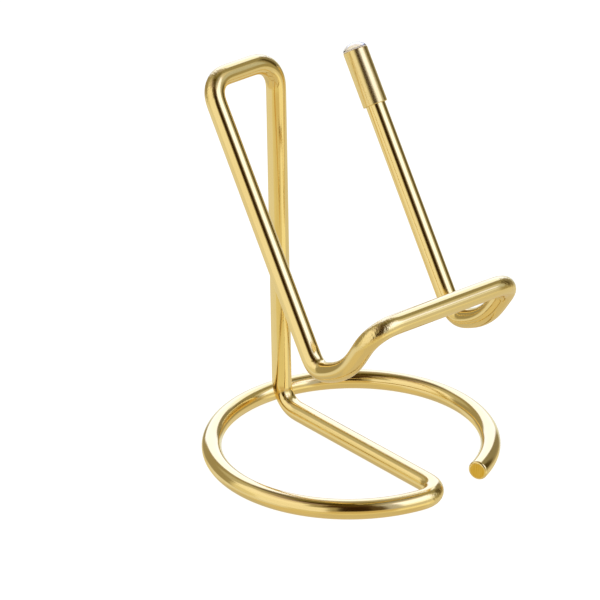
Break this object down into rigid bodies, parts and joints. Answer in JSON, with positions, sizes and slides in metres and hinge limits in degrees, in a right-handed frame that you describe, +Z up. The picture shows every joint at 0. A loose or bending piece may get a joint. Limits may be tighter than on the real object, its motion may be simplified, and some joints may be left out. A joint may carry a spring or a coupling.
{
  "type": "table number holder",
  "caption": "Gold-plated bent-wire easel on a ring foot, with leaning arms, a front lip bar that holds a card, and a capped arm end with a clear dome.",
  "frame": {"origin": "centre of the ring foot, on the table surface", "axes": "+Z up; the card faces -Y and leans back towards +Y; +X is to the right seen from the front"},
  "size_m": [0.0734, 0.0735, 0.0989],
  "materials": {
    "gold_rod": "polished gold plate",
    "gold_cap": "polished gold plate, lightly turned",
    "clear_dome": "clear, glossy",
    "adhesive": "cured, satin"
  },
  "bodies": {
    "root": {"wire_frame": "gold_rod", "end_cap": "gold_cap", "clear_tip": "clear_dome", "cap_adhesive": "adhesive"}
  },
  "joints": []
}
